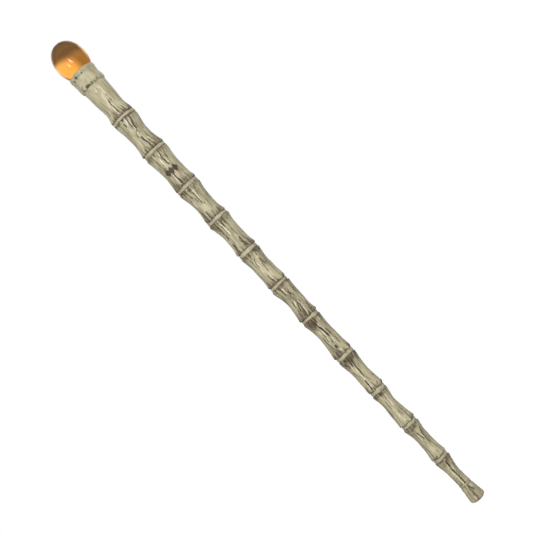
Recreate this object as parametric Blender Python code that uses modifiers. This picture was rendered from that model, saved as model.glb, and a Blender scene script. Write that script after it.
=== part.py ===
"""A magic wand: an amber knob that screws into a socket cup, on a shaft of cast bone-like
segments and rings strung on a steel core rod.

Metres, +Z up. The wand's axis is Z, its tip's flat end lies on z = 0 and its knob is on top.
"""

import math
from collections import namedtuple

import bmesh
import bpy

MM = 0.001
SIDES = 24  # facets round every turned piece
GAP = 0.3 * MM  # clearance between touching pieces
EDGE = 0.5 * MM  # worn corner at the ends of a segment
RING_EDGE = 0.2 * MM

# The steel rod that everything is strung on, an M3 thread. Its upper end is the knob's stud.
ROD_RADIUS = 1.5 * MM
BORE_RADIUS = ROD_RADIUS + GAP
THREAD_CHAMFER = 0.3 * MM

# The foot, from the tip's flat end up to its neck
FOOT_HEIGHT = 11.0 * MM
FOOT_RADIUS = 5.05 * MM
FOOT_FLAT_RADIUS = 3.8 * MM
FOOT_CORNER = 1.2 * MM
FOOT_NECK_RADIUS = 3.7 * MM
BEAD_HEIGHT = 0.8 * MM
BEAD_RADIUS = 3.65 * MM
INSERT_WALL = 0.6 * MM
INSERT_LENGTH = 5.7 * MM

# The shaft from the cup down to the bead. Heights and radii in millimetres. waist_at is how
# far down the segment its narrowest place is, as a share of its height. The powers say how
# late its curve leaves the waist on the way up and on the way down.
Segment = namedtuple("Segment", "height top waist bottom waist_at power_up power_down")
Ring = namedtuple("Ring", "height radius")
SEGMENTS = [
    Segment(23.5, 7.65, 6.65, 8.05, 0.69, 0.6, 1.8),
    Segment(23.1, 7.85, 6.30, 7.75, 0.55, 1.7, 2.0),
    Segment(24.9, 7.90, 6.45, 7.45, 0.56, 2.0, 2.2),
    Segment(22.4, 7.55, 5.80, 6.95, 0.57, 2.2, 2.5),
    Segment(23.2, 7.30, 5.60, 6.80, 0.47, 2.2, 2.6),
    Segment(23.1, 6.65, 5.50, 6.35, 0.47, 2.0, 2.2),
    Segment(23.5, 6.55, 5.15, 6.30, 0.56, 2.2, 2.0),
    Segment(26.6, 6.20, 4.95, 6.35, 0.44, 1.9, 2.0),
    Segment(24.3, 6.25, 4.70, 5.55, 0.53, 2.2, 2.1),
    Segment(23.8, 5.45, 4.00, 5.50, 0.36, 1.5, 1.3),
    Segment(24.0, 5.35, 4.00, 5.25, 0.43, 2.2, 2.8),
    Segment(18.4, 5.05, 3.50, 3.55, 0.73, 2.8, 1.0),
]
RINGS = [
    Ring(2.0, 7.70),
    Ring(2.1, 7.35),
    Ring(2.0, 7.10),
    Ring(1.8, 6.70),
    Ring(2.2, 6.20),
    Ring(2.0, 5.85),
    Ring(2.1, 5.65),
    Ring(2.6, 5.70),
    Ring(2.4, 4.90),
    Ring(1.8, 4.85),
    Ring(2.1, 4.70),
]
STEPS_PER_FLANK = 4  # points on a segment's curve from an end to its waist

# The socket cup and what clamps the stack on its floor
CUP_HEIGHT = 11.2 * MM
CUP_RADIUS = 8.7 * MM
CUP_WAIST_RADIUS = 8.4 * MM
CUP_FLOOR = 1.5 * MM
CUP_BORE_RADIUS = 5.75 * MM
CUP_LIP = 0.4 * MM
CUP_GROOVE_DEPTH = 2.6 * MM  # from the rim down to the cut line round the cup
CUP_GROOVE_HALF = 0.3 * MM
CUP_BAND_HEIGHT = 3.0 * MM  # where the lower band is widest
BOWL_STEPS = 4
SEAT_EASE = 1.01  # makes up for the flats between facets, in front of the knob's corners
WASHER_RADIUS = 3.5 * MM
WASHER_THICKNESS = 0.5 * MM
NUT_ACROSS_FLATS = 5.5 * MM
NUT_HEIGHT = 2.4 * MM

# The knob: an egg, slightly blunter than an ellipsoid, on a short tenon
KNOB_RADIUS = 10.0 * MM
KNOB_HALF_LENGTH = 12.7 * MM
KNOB_CENTRE_OVER_RIM = 8.5 * MM
KNOB_POWER = 2.15
KNOB_STEPS = 14
TENON_RADIUS = 4.6 * MM
TENON_DEPTH = 5.9 * MM  # from the cup's rim down to the tenon's end
GROOVE_RADIUS = 3.9 * MM
GROOVE_WIDTH = 1.8 * MM
GROOVE_FROM_END = 0.5 * MM
RING_SECTION_RADIUS = 0.6 * MM
KNOB_INSERT_LENGTH = 6.0 * MM
STUD_BELOW_RIM = 0.4 * MM

BONE = (0.52, 0.48, 0.33)
RING_BONE = (0.50, 0.48, 0.36)
AMBER = (0.80, 0.33, 0.05)
STEEL = (0.60, 0.60, 0.62)
BRASS = (0.72, 0.53, 0.24)
RUBBER = (0.03, 0.03, 0.03)


def clear_scene():
    for obj in list(bpy.data.objects):
        bpy.data.objects.remove(obj, do_unlink=True)


def new_collection(name):
    made = bpy.data.collections.new(name)
    bpy.context.scene.collection.children.link(made)
    return made


def new_material(name, colour, roughness, metallic=0.0, transmission=0.0):
    made = bpy.data.materials.new(name)
    made.use_nodes = True
    shader = made.node_tree.nodes["Principled BSDF"]
    shader.inputs["Base Color"].default_value = (*colour, 1.0)
    shader.inputs["Roughness"].default_value = roughness
    shader.inputs["Metallic"].default_value = metallic
    shader.inputs["Transmission Weight"].default_value = transmission
    made.diffuse_color = (*colour, 1.0)
    return made


def add_object(name, mesh, collection, material, z=0.0, parent=None):
    """An object on the axis at height z, which stays there under its parent."""
    obj = bpy.data.objects.new(name, mesh)
    if material:
        mesh.materials.append(material)
    collection.objects.link(obj)
    obj.parent = parent
    obj.location.z = z - (parent.location.z if parent else 0.0)
    return obj


def turned(name, profile, collection, material, z=0.0, parent=None, closed=True):
    """A turned piece. The profile's (radius, height) points run down its outer side, and a
    closed one runs back up its bore; an open one starts and ends on the axis."""
    mesh = bpy.data.meshes.new(name)
    edges = [(i, i + 1) for i in range(len(profile) - 1)]
    if closed:
        edges.append((len(profile) - 1, 0))
    mesh.from_pydata([(radius, 0.0, height) for radius, height in profile], edges, [])
    obj = add_object(name, mesh, collection, material, z, parent)
    screw = obj.modifiers.new("Turn", "SCREW")
    screw.steps = SIDES
    screw.render_steps = SIDES
    screw.use_merge_vertices = True
    screw.merge_threshold = 0.00001
    screw.use_smooth_shade = True
    return obj


def flank(waist_height, end_height, waist_radius, end_radius, power):
    """Points on a segment's curve from its waist to one of its ends."""
    points = []
    for i in range(STEPS_PER_FLANK + 1):
        share = i / STEPS_PER_FLANK
        height = waist_height + (end_height - waist_height) * share
        points.append((waist_radius + (end_radius - waist_radius) * share**power, height))
    return points


def segment_profile(segment):
    height = segment.height * MM
    top, waist, bottom = (r * MM for r in (segment.top, segment.waist, segment.bottom))
    waist_height = height * (1 - segment.waist_at)
    upper = flank(waist_height, height - EDGE, waist, top, segment.power_up)
    lower = flank(waist_height, EDGE, waist, bottom, segment.power_down)
    return [
        (BORE_RADIUS, height),
        (top - EDGE, height),
        *reversed(upper[1:]),
        *lower,
        (bottom - EDGE, 0.0),
        (BORE_RADIUS, 0.0),
    ]


def collar_profile(height, radius, bore, edge):
    """A plain ring with its outer corners broken."""
    return [
        (bore, height),
        (radius - edge, height),
        (radius, height - edge),
        (radius, edge),
        (radius - edge, 0.0),
        (bore, 0.0),
    ]


def tube_profile(length, radius, bore):
    return [(bore, length), (radius, length), (radius, 0.0), (bore, 0.0)]


def egg_radius(below_centre):
    """The knob's radius this far below its centre."""
    share = min(1.0, abs(below_centre) / KNOB_HALF_LENGTH)
    return KNOB_RADIUS * (1 - share**KNOB_POWER) ** (1 / KNOB_POWER)


def egg_depth(radius):
    """How far below the knob's centre it has this radius."""
    share = (1 - (radius / KNOB_RADIUS) ** KNOB_POWER) ** (1 / KNOB_POWER)
    return KNOB_HALF_LENGTH * share


def add_foot(collection, bone, brass):
    """The foot with its threaded insert, and the bead above it. Returns the heights of the
    insert's pocket floor and of the bead's top."""
    pocket_radius = BORE_RADIUS + INSERT_WALL + GAP
    pocket_floor = FOOT_HEIGHT - INSERT_LENGTH - 2 * GAP
    profile = [
        (0.0, pocket_floor),
        (pocket_radius, pocket_floor),
        (pocket_radius, FOOT_HEIGHT),
        (FOOT_NECK_RADIUS - RING_EDGE, FOOT_HEIGHT),
        (FOOT_NECK_RADIUS, FOOT_HEIGHT - RING_EDGE),
        (FOOT_RADIUS, FOOT_CORNER),
        (FOOT_RADIUS - 0.3 * FOOT_CORNER, 0.3 * FOOT_CORNER),
        (FOOT_FLAT_RADIUS, 0.0),
        (0.0, 0.0),
    ]
    turned("foot_tip", profile, collection, bone, closed=False)
    turned(
        "foot_insert",
        tube_profile(INSERT_LENGTH, BORE_RADIUS + INSERT_WALL, BORE_RADIUS),
        collection,
        brass,
        pocket_floor + GAP,
    )
    bead_bottom = FOOT_HEIGHT + GAP
    turned(
        "foot_bead",
        collar_profile(BEAD_HEIGHT, BEAD_RADIUS, BORE_RADIUS, RING_EDGE),
        collection,
        bone,
        bead_bottom,
    )
    return pocket_floor, bead_bottom + BEAD_HEIGHT


def add_shaft(collection, bone, ring_bone, bottom):
    """Segments and rings by turns, from the bead up. Returns the top of segment_01."""
    z = bottom
    for number in range(len(SEGMENTS), 0, -1):
        segment = SEGMENTS[number - 1]
        z += GAP
        turned(f"segment_{number:02d}", segment_profile(segment), collection, bone, z)
        z += segment.height * MM
        if number > 1:
            ring = RINGS[number - 2]
            z += GAP
            profile = collar_profile(
                ring.height * MM, ring.radius * MM, BORE_RADIUS, RING_EDGE
            )
            turned(f"ring_{number - 1:02d}", profile, collection, ring_bone, z)
            z += ring.height * MM
    return z


def add_cup(collection, bone, z):
    """The socket cup, whose mouth follows the knob. Returns the height of its rim."""
    centre = CUP_HEIGHT + KNOB_CENTRE_OVER_RIM
    bore_top = centre - egg_depth((CUP_BORE_RADIUS - GAP) / SEAT_EASE)
    bowl = []
    for i in range(BOWL_STEPS + 1):
        height = bore_top + (CUP_HEIGHT - bore_top) * i / BOWL_STEPS
        bowl.append((SEAT_EASE * egg_radius(centre - height) + GAP, height))
    mouth_radius = bowl[-1][0]
    groove = CUP_HEIGHT - CUP_GROOVE_DEPTH
    middle_radius = 0.5 * (CUP_RADIUS + CUP_WAIST_RADIUS)
    outside = [
        (0.5 * (mouth_radius + CUP_RADIUS), CUP_HEIGHT),
        (CUP_RADIUS, CUP_HEIGHT - CUP_LIP),
        (CUP_RADIUS, groove + CUP_GROOVE_HALF),
        (CUP_WAIST_RADIUS, groove),
        (middle_radius, groove - CUP_GROOVE_HALF),
        (CUP_WAIST_RADIUS, 0.5 * CUP_HEIGHT),
        (middle_radius, CUP_BAND_HEIGHT),
        (CUP_WAIST_RADIUS, CUP_LIP),
        (CUP_WAIST_RADIUS - CUP_LIP, 0.0),
    ]
    inside = [(BORE_RADIUS, 0.0), (BORE_RADIUS, CUP_FLOOR), (CUP_BORE_RADIUS, CUP_FLOOR)]
    turned("socket_cup", outside + inside + bowl, collection, bone, z)
    return z + CUP_HEIGHT


def add_clamp(collection, cutters, steel, floor):
    """The washer and the hex nut that hold the stack together, on the cup's floor."""
    washer_bottom = floor + GAP
    turned(
        "top_washer",
        tube_profile(WASHER_THICKNESS, WASHER_RADIUS, BORE_RADIUS),
        collection,
        steel,
        washer_bottom,
    )
    nut_bottom = washer_bottom + WASHER_THICKNESS + GAP
    hexagon = bmesh.new()
    bmesh.ops.create_cone(
        hexagon,
        cap_ends=True,
        segments=6,
        radius1=NUT_ACROSS_FLATS / math.sqrt(3),
        radius2=NUT_ACROSS_FLATS / math.sqrt(3),
        depth=NUT_HEIGHT,
    )
    mesh = bpy.data.meshes.new("top_nut")
    hexagon.to_mesh(mesh)
    hexagon.free()
    nut = add_object("top_nut", mesh, collection, steel, nut_bottom + NUT_HEIGHT / 2)
    drill = bmesh.new()
    bmesh.ops.create_cone(
        drill,
        cap_ends=True,
        segments=SIDES,
        radius1=BORE_RADIUS,
        radius2=BORE_RADIUS,
        depth=3 * NUT_HEIGHT,
    )
    mesh = bpy.data.meshes.new("nut_drill")
    drill.to_mesh(mesh)
    drill.free()
    cutter = add_object("nut_drill", mesh, cutters, None, nut.location.z)
    cutter.hide_render = True
    cutter.display_type = "WIRE"
    bore = nut.modifiers.new("Bore", "BOOLEAN")
    bore.operation = "DIFFERENCE"
    bore.object = cutter


def add_rod(collection, steel, bottom, top):
    length = top - bottom
    turned(
        "core_rod",
        [
            (0.0, length),
            (ROD_RADIUS - THREAD_CHAMFER, length),
            (ROD_RADIUS, length - THREAD_CHAMFER),
            (ROD_RADIUS, THREAD_CHAMFER),
            (ROD_RADIUS - THREAD_CHAMFER, 0.0),
            (0.0, 0.0),
        ],
        collection,
        steel,
        bottom,
        closed=False,
    )


def knob_profile(pocket_radius, pocket_depth):
    """The egg from its crown down to its tenon, with the ring's groove and the insert's
    pocket. Height 0 is the cup's rim."""
    tenon_end = -TENON_DEPTH
    groove_bottom = tenon_end + GROOVE_FROM_END
    groove_top = groove_bottom + GROOVE_WIDTH
    lowest = egg_depth(TENON_RADIUS) / KNOB_HALF_LENGTH
    start, end = math.pi / 2, -math.asin(lowest)
    points = [(0.0, KNOB_CENTRE_OVER_RIM + KNOB_HALF_LENGTH)]
    for i in range(1, KNOB_STEPS + 1):
        share = math.sin(start + (end - start) * i / KNOB_STEPS)
        height = KNOB_HALF_LENGTH * share
        points.append((egg_radius(height), KNOB_CENTRE_OVER_RIM + height))
    points += [
        (TENON_RADIUS, groove_top),
        (GROOVE_RADIUS, groove_top),
        (GROOVE_RADIUS, groove_bottom),
        (TENON_RADIUS, groove_bottom),
        (TENON_RADIUS, tenon_end),
        (pocket_radius, tenon_end),
        (pocket_radius, tenon_end + pocket_depth),
        (0.0, tenon_end + pocket_depth),
    ]
    return points


def add_knob(collection, amber, brass, rubber, rim):
    """The knob and its insert turn on one empty; the rubber ring in its groove rises with them
    on another. Both empties stand on the axis at the cup's rim."""
    turning = bpy.data.objects.new("knob_axis", None)
    rising = bpy.data.objects.new("knob_ring_axis", None)
    for empty in (turning, rising):
        empty.location.z = rim
        empty.empty_display_size = KNOB_RADIUS
        collection.objects.link(empty)
    insert_radius = BORE_RADIUS + INSERT_WALL
    profile = knob_profile(insert_radius + GAP, KNOB_INSERT_LENGTH + GAP)
    turned("knob", profile, collection, amber, rim, turning, closed=False)
    turned(
        "knob_insert",
        tube_profile(KNOB_INSERT_LENGTH, insert_radius, BORE_RADIUS),
        collection,
        brass,
        rim - TENON_DEPTH,
        turning,
    )
    bpy.ops.mesh.primitive_torus_add(
        major_segments=SIDES,
        minor_segments=8,
        major_radius=GROOVE_RADIUS + GAP + RING_SECTION_RADIUS,
        minor_radius=RING_SECTION_RADIUS,
    )
    ring = bpy.context.object
    ring.name = "knob_ring"
    ring.data.name = "knob_ring"
    ring.data.materials.append(rubber)
    ring.data.shade_smooth()
    for holder in list(ring.users_collection):
        holder.objects.unlink(ring)
    collection.objects.link(ring)
    ring.parent = rising
    ring.location.z = GROOVE_FROM_END + GROOVE_WIDTH / 2 - TENON_DEPTH


def main():
    clear_scene()
    wand = new_collection("MagicWand")
    cutters = new_collection("Cutters")
    bone = new_material("cast_bone", BONE, 0.45)
    ring_bone = new_material("ring_bone", RING_BONE, 0.55)
    amber = new_material("amber_resin", AMBER, 0.08, transmission=0.8)
    steel = new_material("steel", STEEL, 0.35, metallic=1.0)
    brass = new_material("brass", BRASS, 0.3, metallic=1.0)
    rubber = new_material("rubber", RUBBER, 0.7)

    pocket_floor, bead_top = add_foot(wand, bone, brass)
    shaft_top = add_shaft(wand, bone, ring_bone, bead_top)
    cup_bottom = shaft_top + GAP
    rim = add_cup(wand, bone, cup_bottom)
    add_clamp(wand, cutters, steel, cup_bottom + CUP_FLOOR)
    add_rod(wand, steel, pocket_floor + 2 * GAP, rim - STUD_BELOW_RIM)
    add_knob(wand, amber, brass, rubber, rim)


main()
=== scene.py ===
"""The looks of the magic wand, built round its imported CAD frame.

Every piece is a grid of points wrapped round the wand's axis. `phi` is the angle round it: 0 at
the wand's front, which faces -Y, and growing towards +X. Rows of points run from the top down.
"""

import math

import bpy
import numpy as np
from mathutils import Matrix, Vector


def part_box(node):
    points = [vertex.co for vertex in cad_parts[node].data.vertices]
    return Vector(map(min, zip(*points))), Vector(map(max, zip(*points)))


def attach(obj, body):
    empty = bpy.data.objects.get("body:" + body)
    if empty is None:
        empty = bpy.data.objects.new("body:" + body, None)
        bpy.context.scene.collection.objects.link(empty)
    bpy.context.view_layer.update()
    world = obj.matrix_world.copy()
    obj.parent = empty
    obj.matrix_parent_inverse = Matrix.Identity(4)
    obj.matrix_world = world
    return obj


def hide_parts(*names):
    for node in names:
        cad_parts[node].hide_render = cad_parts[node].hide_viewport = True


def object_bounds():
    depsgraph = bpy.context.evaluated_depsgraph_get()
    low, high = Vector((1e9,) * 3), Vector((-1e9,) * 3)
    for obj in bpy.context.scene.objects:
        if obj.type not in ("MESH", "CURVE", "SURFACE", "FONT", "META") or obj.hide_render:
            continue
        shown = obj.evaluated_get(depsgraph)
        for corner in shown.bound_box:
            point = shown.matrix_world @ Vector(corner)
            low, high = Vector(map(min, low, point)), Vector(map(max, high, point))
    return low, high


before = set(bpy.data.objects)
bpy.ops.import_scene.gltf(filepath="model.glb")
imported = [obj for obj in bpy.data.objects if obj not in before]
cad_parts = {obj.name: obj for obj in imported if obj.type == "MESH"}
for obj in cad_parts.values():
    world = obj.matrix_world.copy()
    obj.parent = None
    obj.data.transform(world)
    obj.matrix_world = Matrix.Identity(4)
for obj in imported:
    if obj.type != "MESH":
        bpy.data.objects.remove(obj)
cad_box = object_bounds()

MM = 0.001
AROUND = 240  # points round a casting
ROW = 0.2 * MM  # between rows of points down it
SEGMENTS = 12
RINGS = SEGMENTS - 1

# The camera looks along +Y at the wand's middle, rolled so that the knob is at the upper left.
CAMERA_DISTANCE = 0.5397
CAMERA_HEIGHT = 180.3 * MM
CAMERA_SIDE = 1.6 * MM
CAMERA_LENS = 63.43
AXIS_BELOW_HORIZON = math.radians(46.98)

# How far each segment's middle bows towards +X, in mm
BOWS = {2: -0.29, 5: 0.32, 7: 0.52, 8: 0.34, 9: -0.17, 10: -0.34, 11: 0.14, 12: -0.29}

# How far the brown wash reaches from each segment's upper and lower end, in mm
WASH_REACH = {
    1: (0.2, 2.6), 2: (1.0, 3.0), 3: (1.6, 3.0), 4: (2.4, 3.4), 5: (2.8, 2.8), 6: (2.4, 1.4),
    7: (1.5, 2.4), 8: (2.4, 2.2), 9: (2.8, 1.4), 10: (1.7, 1.3), 11: (2.1, 1.0), 12: (1.4, 0.3),
}

# The cracks and ridges on the front of each segment, all in hundredths. The ridges are raised
# and drawn pale; many of them stand where light glints along the front, so their pale is partly
# painted highlight. A stroke is its strength, its width in mm, and then two numbers for each of
# its points: the share of the way down the segment, and the share of its radius across the front
# towards +X.
CRACKS = {
    1: (
        (45, 40, 36, 24, 44, 23), (70, 40, 50, 23, 59, 24), (75, 45, 51, 6, 59, 3, 69, -3, 82, 1, 96, 4),
        (80, 50, 78, 28, 90, 31, 100, 32), (80, 50, 81, 51, 93, 54, 101, 59),
        (100, 55, 70, -75, 78, -76, 84, -78), (50, 50, 24, -91, 34, -92, 47, -93),
        (35, 40, 13, -8, 16, 5), (30, 40, 5, -74, 18, -75, 36, -75), (35, 35, 55, 58, 63, 55),
        (40, 40, 79, -55, 89, -56, 101, -53), (35, 40, 75, -24, 85, -22),
    ),
    2: (
        (100, 75, -2, 35, 11, 38, 16, 31, 23, 24, 31, 23, 40, 24), (80, 50, -2, 10, 14, 6, 21, 3, 31, 4),
        (90, 60, -2, -17, 5, -25), (90, 55, 9, -35, 17, -35, 21, -33),
        (75, 50, -2, -68, 14, -69, 24, -69), (55, 40, 42, 23, 48, 30, 52, 36),
        (60, 40, 40, 11, 48, -11, 53, -17, 60, -17), (100, 65, 59, 0, 70, 3, 80, 8, 89, 12, 101, 14),
        (85, 55, 74, 32, 82, 32, 91, 34, 103, 35), (55, 45, 67, 55, 77, 55, 86, 54),
        (80, 50, 88, -46, 96, -47, 101, -52), (60, 45, 87, -30, 95, -27, 103, -20),
        (40, 50, 35, 65, 50, 73), (45, 50, 30, -57, 34, -55), (60, 50, 82, -83, 93, -76, 101, -71),
    ),
    3: (
        (95, 60, -2, 15, 8, 17, 16, 10, 25, 7, 33, 11, 45, 16), (50, 45, 16, 42, 22, 45, 28, 48),
        (50, 40, 8, -10, 18, -9, 27, -4), (50, 45, 18, -42, 27, -57, 37, -57), (60, 50, 41, -51, 46, -50),
        (45, 40, 32, -30, 47, -35), (100, 70, 63, -15, 70, -15, 78, -13, 88, -12, 101, -9),
        (85, 55, 85, -65, 91, -59, 99, -50), (45, 50, 87, 74, 97, 80), (50, 50, 86, 41, 94, 38, 101, 44),
        (50, 50, 69, 70, 73, 68), (50, 50, 86, 12, 96, 15), (50, 40, 74, -83, 89, -82),
    ),
    4: (
        (80, 50, 16, -9, 26, -8, 38, -7, 56, -10), (60, 40, 32, -28, 44, -29), (45, 40, 14, 51, 25, 58),
        (60, 45, 19, 24, 31, 25), (60, 45, 48, 53, 58, 47, 68, 43, 80, 42), (50, 50, 54, 12, 60, 12),
        (80, 70, 83, 61, 91, 62, 100, 57), (60, 60, 81, 13, 91, 8, 101, 10),
        (85, 50, 74, -36, 84, -38, 94, -38, 102, -35), (100, 80, 69, -83, 80, -76, 91, -71, 103, -65),
        (75, 50, -2, -53, 12, -48, 20, -47, 31, -46), (60, 60, -2, -70, 20, -77, 40, -80),
        (50, 40, 7, 34, 16, 37), (60, 60, 89, -89, 100, -86),
    ),
    5: (
        (90, 70, -2, -53, 12, -56, 24, -63, 37, -71, 47, -72, 59, -75),
        (100, 80, 69, -70, 79, -68, 88, -67, 100, -61), (60, 45, -2, -3, 14, -3, 26, -7),
        (60, 40, 16, -28, 33, -34, 52, -40), (55, 45, 36, 25, 48, 32, 62, 34),
        (100, 70, 64, 33, 75, 29, 83, 24, 88, 28, 98, 40), (45, 40, 84, -31, 90, -25, 99, -22),
        (50, 40, 12, 36, 24, 36, 33, 40), (50, 60, 10, 58, 14, 63), (60, 60, 10, -78, 19, -80, 29, -77),
        (60, 50, 88, 62, 99, 66), (40, 40, 71, 9, 81, 6),
    ),
    6: (
        (70, 50, -2, 70, 11, 66, 19, 64), (80, 50, -2, 44, 13, 40, 19, 37),
        (80, 60, 25, 34, 32, 36, 40, 42, 48, 49), (55, 40, 38, 17, 49, 22, 59, 15, 68, 10),
        (75, 50, 19, -5, 22, -16, 25, -23), (60, 40, 25, -23, 34, -29, 46, -31),
        (55, 45, 15, -53, 25, -49, 32, -47), (90, 55, 72, -27, 82, -23, 89, -17, 99, -10),
        (55, 50, 86, 72, 99, 76), (60, 50, 82, -77, 89, -78, 99, -78), (55, 50, 88, -45, 96, -41),
        (50, 40, -2, 23, 9, 17), (45, 50, 40, 67, 46, 69), (60, 50, -2, -23, 8, -26),
        (70, 60, -2, -59, 8, -62), (50, 50, 53, -89, 68, -88),
    ),
    7: (
        (100, 65, 21, 15, 27, 11, 34, 15), (75, 50, -2, -36, 8, -31, 18, -33, 29, -36),
        (70, 60, -2, -70, 11, -70), (85, 55, 48, -38, 56, -45, 62, -49, 67, -52),
        (90, 50, 57, -4, 64, -12, 71, -22, 81, -24), (70, 40, 62, 11, 69, 8), (70, 45, 54, 32, 62, 35),
        (70, 50, 69, 50, 71, 41), (60, 45, 75, 38, 85, 38, 96, 33), (65, 60, 69, 74, 83, 73, 98, 70),
        (60, 50, 21, 77, 29, 74, 39, 75), (70, 50, 77, 6, 85, 1, 94, -1),
        (75, 50, 79, -14, 88, -14, 98, -7), (60, 40, 12, 8, 18, 4), (60, 50, 73, -54, 83, -55, 94, -47),
        (45, 40, 33, -1, 44, -8, 48, -18), (50, 50, -2, 25, 8, 28), (45, 50, 23, -73, 38, -77),
    ),
    8: (
        (100, 65, -2, -14, 11, -10, 21, -5, 31, 2, 41, 8, 49, 11, 56, 7), (85, 60, -2, 11, 7, 13, 14, 15),
        (70, 50, 4, -31, 13, -30, 22, -30), (80, 80, -2, -49, 9, -55, 17, -55),
        (90, 60, 34, 38, 41, 42, 51, 46), (60, 40, 37, -31, 49, -36, 57, -41, 63, -36),
        (75, 50, 46, -66, 58, -67, 67, -59, 75, -50, 83, -38), (100, 70, 75, -12, 79, -8, 82, -9),
        (50, 50, 61, 57, 69, 60, 81, 56), (70, 70, -2, 74, 10, 76), (60, 50, 14, 63, 17, 58),
        (60, 50, 55, 3, 63, -6, 69, -15), (80, 60, 76, -73, 84, -71), (80, 50, 89, -11, 96, -9),
        (70, 50, 91, -49, 97, -49), (60, 50, 84, -26, 94, -28), (60, 60, 86, 80, 98, 82),
        (90, 60, 98, 45, 100, 46), (50, 60, 12, -74, 22, -66),
    ),
    9: (
        (100, 60, -2, -2, 13, 5, 22, 11, 32, 5, 46, 0, 61, -3),
        (100, 70, -2, -10, 8, -16, 18, -22, 26, -20), (90, 55, -2, 54, 6, 49, 13, 46),
        (96, 60, 5, -74, 12, -64, 18, -58, 28, -57), (96, 60, -2, -39, 8, -44),
        (100, 70, 68, -38, 77, -39, 87, -39, 96, -37), (60, 40, 79, 3, 89, 7, 97, 11),
        (72, 50, 87, 55, 93, 48, 99, 42), (48, 50, 35, -70, 49, -67, 58, -53), (84, 70, -2, 89, 7, 88),
        (60, 50, 66, 80, 76, 82), (60, 50, 83, -82, 95, -85),
    ),
    10: (
        (100, 80, -2, -13, 3, -9, 7, -5), (60, 40, 6, 2, 14, 7, 25, 11), (72, 50, -2, -47, 7, -47),
        (60, 50, -2, -75, 12, -73), (84, 60, 47, -84, 55, -80, 63, -79, 69, -85),
        (48, 40, 25, -32, 41, -38, 51, -29), (60, 50, 56, 58, 75, 59, 99, 50),
        (42, 40, 47, 35, 67, 32, 78, 23), (54, 40, 90, -44, 99, -46), (36, 40, 12, 55, 28, 49),
        (48, 40, 61, 13, 78, 5),
    ),
    11: (
        (90, 55, -2, 69, 5, 49, 10, 34), (72, 50, 4, -5, 12, -4),
        (90, 50, 13, 70, 21, 53, 30, 42, 44, 38, 56, 40, 64, 33), (72, 50, 20, -13, 29, -7, 37, 4, 45, 7),
        (60, 50, 6, -84, 18, -78, 27, -77), (54, 50, 86, -56, 90, -57), (48, 40, 31, 61, 47, 68, 58, 59),
        (36, 40, 9, -49, 27, -51), (48, 40, 81, 13, 91, 26),
    ),
    12: (
        (85, 85, 6, 15, 18, 13, 32, 11), (75, 75, 30, 12, 51, 10, 70, 14, 104, 16),
        (50, 50, 3, 50, 7, 44), (40, 40, 37, -28, 42, -38), (50, 50, 89, -43, 98, -47),
        (50, 50, 17, -94, 47, -97),
    ),
}
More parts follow.
